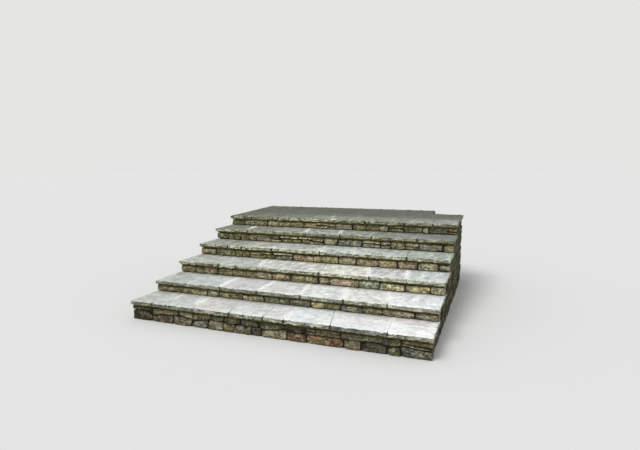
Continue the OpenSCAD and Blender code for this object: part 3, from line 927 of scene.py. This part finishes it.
# Pale arris: fresh stone and a painted highlight, stronger on the lower treads
edge = slab.cover(
    edge, (slab.step(lichen, 0.47, 0.41) * aged * 0.7, tone(86, 82, 42)),
    (slab.step(lichen, 0.54, 0.60) * aged * 0.5, tone(212, 213, 196)),
    (slab.step(drop + edge_spots * 0.4, 0.27, 0.18) * (0.8 - aged * 0.4),
     slab.mix(0.5, tint, tone(228, 226, 208))),
    (slab.value("nick") * 0.8, tone(70, 68, 44)))
slab_colour = slab.shade(slab.mix(rim, top, edge), fine, 0.90, 1.10)
relief = patch * 0.4 + smear * 0.2 + pits * 0.25 + fine * 0.15 + rim * edge_bands * 1.2
flag_material = slab.finish(slab_colour, 0.8, relief, 0.006)
PITCHED = {"Wear": 1, "Lump Size": 0.05, "Lump Depth": 0.009, "Facet Size": 0.05, "Facet Slope": 0.45,
           "Layer Height": 0.009, "Layer Depth": 0.006, "Grit Size": 0.014, "Grit Depth": 0.003}
wing_low, wing_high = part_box("wing_wall")
# How close is as good as touching, in metres
NEAR = 0.001


def free_sides(node, flag, last_in_row):
    """Which of a flag's sides show: those that lie on the outline of the steps."""
    beside_wing = abs(flag.back - wing_high.y) < NEAR and flag.left > wing_low.x
    beside_recess = flag.back > wing_high.y + NEAR and last_in_row
    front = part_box(node)[0].y + FRONT_BAND
    return {"front": flag.front < front and node != "landing_paving",
            "back": flag.back > cad_high.y - NEAR or beside_wing,
            "left": flag.left < cad_low.x + NEAR,
            "right": flag.right > cad_high.x - NEAR or beside_recess}


for node, tones in FLAGS.items():
    left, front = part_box(node)[0].xy
    blocks = Blocks()
    rng = np.random.default_rng(sum(map(ord, node)))
    step = int(node[-1]) if node.startswith("tread") else 0
    run, spots = JOINTS[f"bed_{step}" if step else "landing_bed"][2:]
    row = {"front": front, "broken": from_left(left, BROKEN.get(node, [])),
           "shut": [left + spot / 1000 for spot in SHUT.get(node, [])],
           "smears": from_left(left, SMEARS.get(node, [])),
           "foot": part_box(f"riser_{step + 1}")[0].y if step else cad_high.y + 1.0,
           "lip": LIP.get(node, 0.05), "run": run,
           "spots": from_left(left, spots) if node != "landing_paving" else []}
    flags = [Flag(corners) for corners in loose_parts(node)]
    flags.sort(key=lambda flag: (round((flag.left + flag.right) / 2, 1), flag.front))
    for index, flag in enumerate(flags):
        *colour, paleness = tones[index % len(tones)]
        free = free_sides(node, flag, index == len(flags) - 1)
        flag.lay(blocks, colour, paleness, free, rng, **row)
    hew(f"{node}_flags", node, blocks, PITCHED, flag_material, "flagstone")

# Side and back walls
# Below the flags the sides and the back are faced with the same ledgestone, in courses that
# step with the treads. The right side is dark and green: damp and moss, and painted shade.
shaded_damp_stone = stone_finish("shaded_damp_ledgestone", 1.0)
WALL_TONES = ["olive", "moss", "umber", "tan", "ash", "gold", "olive", "moss", "rose", "slate", "beige"]
# Lengths between which their stones lie, in mm, and the size of their mesh cells in metres
SHORTEST = 120
LONGEST = 320
WALL_CELL = 0.017
# How far below its highest point the mortar of a back wall ends, as the top slopes
BELOW_SLOPE = 0.02
core_fronts = [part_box(f"riser_{k}")[1].y for k in range(1, 7)]
climb = (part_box("back_wall")[1].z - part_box("riser_6")[1].z) / (cad_high.y - core_fronts[5])


def seat_line(k, depth_at):
    """The line of the masonry's top under step k, where depth_at gives y at x."""
    if k < 6:
        return level(seats[k - 1] if k else 0.0)
    return lambda x: seats[5] + climb * (depth_at(x) - core_fronts[5])


def random_stones(length, rng):
    """Stones of random lengths and tones that fill a course of this length, both in mm."""
    stones, x = [], 0
    while length - x > LONGEST + 10:
        x += rng.integers(SHORTEST, LONGEST)
        stones.append((x, rng.integers(-10, 11), [str(rng.choice(WALL_TONES))]))
    return stones + [(length, 0, [str(rng.choice(WALL_TONES))])]


def face_wall(node, along, out, ranges, depth_at, finish, end_thick):
    """Faces a wall in two courses for each band between two seats, over the ranges x0 to x1."""
    low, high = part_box(node)
    face = max(np.dot(out, low), np.dot(out, high))
    blocks = Blocks()
    for k, (x0, x1) in ranges.items():
        foot, top = seat_line(k - 1, depth_at), seat_line(k, depth_at)
        rng = np.random.default_rng(100 * k + len(node))
        halfway = between(foot, top, rng.uniform(0.42, 0.58))
        lines = [foot, lambda x: halfway(x) + 0.016 * drift(x, x * 0, 0.3, k * 2.0), top]
        wall = Wall(along, out, face, (x0, 0.0), (x1, cad_high.z), WALL_CELL, blocks)
        for course in (0, 1):
            seed = 200 + 10 * k + course + len(node)
            stones = random_stones(round((x1 - x0) * 1000), rng)
            wall.course(x0, stones, lines[course], lines[course + 1], seed, end_thick)
    hew(f"{node}_stones", node, blocks, HEWN, finish, "wallstone")


for node, way in (("right_wall", 1), ("left_wall", -1)):
    low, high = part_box(node)
    ranges = {k: sorted((way * core_fronts[k - 1], way * high.y)) for k in range(1, 7)}
    face_wall(node, (0, way, 0), (way, 0, 0), ranges, lambda x, way=way: x * way,
              shaded_damp_stone if way > 0 else split_stone, high.x - low.x)
    inner, outer = (low.x, high.x - RECESS) if way > 0 else (low.x + RECESS, high.x)
    feet = [0.0, *seats[:5]]
    tops = [*seats[:5], high.z - climb * (high.y - core_fronts[5])]
    fill(f"{node}_mortar", [((inner, front, foot), (outer, high.y - RECESS, top - SUNK))
                            for front, foot, top in zip(core_fronts, feet, tops)], dark_mortar, node)
for node, along, out in (("back_wall", (-1, 0, 0), (0, 1, 0)), ("wing_wall", (-1, 0, 0), (0, 1, 0)),
                         ("recess_wall", (0, 1, 0), (1, 0, 0))):
    low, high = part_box(node)
    start, end = sorted((np.dot(along, low), np.dot(along, high)))
    depth_at = level(high.y)
    if node == "recess_wall":
        start = wing_high.y
        depth_at = lambda x: x
    face_wall(node, along, out, {k: (start, end) for k in range(1, 7)}, depth_at, split_stone,
              high.y - low.y if node == "back_wall" else STONE_DEEP)
    inset = (RECESS if out[0] or node == "back_wall" else 0.0, RECESS if out[1] else 0.0, BELOW_SLOPE)
    fill(f"{node}_mortar", [(low, np.array(high) - inset)], dark_mortar, node)

# Floor, light and background
# A plain pale floor lies at the level of the lowest ground. One broad soft lamp and an even sky
# light the steps, and the camera sees a pale background behind them.
REACH = 80.0
floor_mesh = bpy.data.meshes.new("floor")
floor_mesh.from_pydata([(-REACH, -REACH, 0), (REACH, -REACH, 0), (REACH, REACH, 0), (-REACH, REACH, 0)],
                       [], [(0, 1, 2, 3)])
floor = add_object("floor", floor_mesh)
ground = Finish("pale_floor")
floor_mesh.materials.append(ground.finish(tone(222, 222, 220), 0.95, ground.speckle(0.02), 0.0002))
floor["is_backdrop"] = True

world = bpy.data.worlds.new("sky")
bpy.context.scene.world = world
world.use_nodes = True
sky = world.node_tree
lit = sky.nodes["Background"]
lit.inputs["Color"].default_value = (0.97, 0.985, 1.0, 1.0)
lit.inputs["Strength"].default_value = 0.62
seen = add_node(sky, "ShaderNodeBackground", {}, {"Color": tone(228, 229, 227), "Strength": 1.0})
path = sky.nodes.new("ShaderNodeLightPath")
direct = (Wire(path.outputs["Is Camera Ray"]) + Wire(path.outputs["Is Glossy Ray"])
          + Wire(path.outputs["Is Transmission Ray"]))
backdrop = add_node(sky, "ShaderNodeMixShader", {}, {0: direct, 1: Wire(lit.outputs[0]), 2: seen})
plug(sky.nodes["World Output"].inputs["Surface"], backdrop)

lamp_data = bpy.data.lights.new("soft_lamp", "SUN")
lamp_data.energy = 1.75
lamp_data.angle = math.radians(30)
lamp = add_object("soft_lamp", lamp_data)
lamp.rotation_euler = Vector((0.35, 0.60, -1.00)).to_track_quat("-Z", "Y").to_euler()
bpy.context.scene.view_settings.view_transform = "Standard"

low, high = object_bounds()
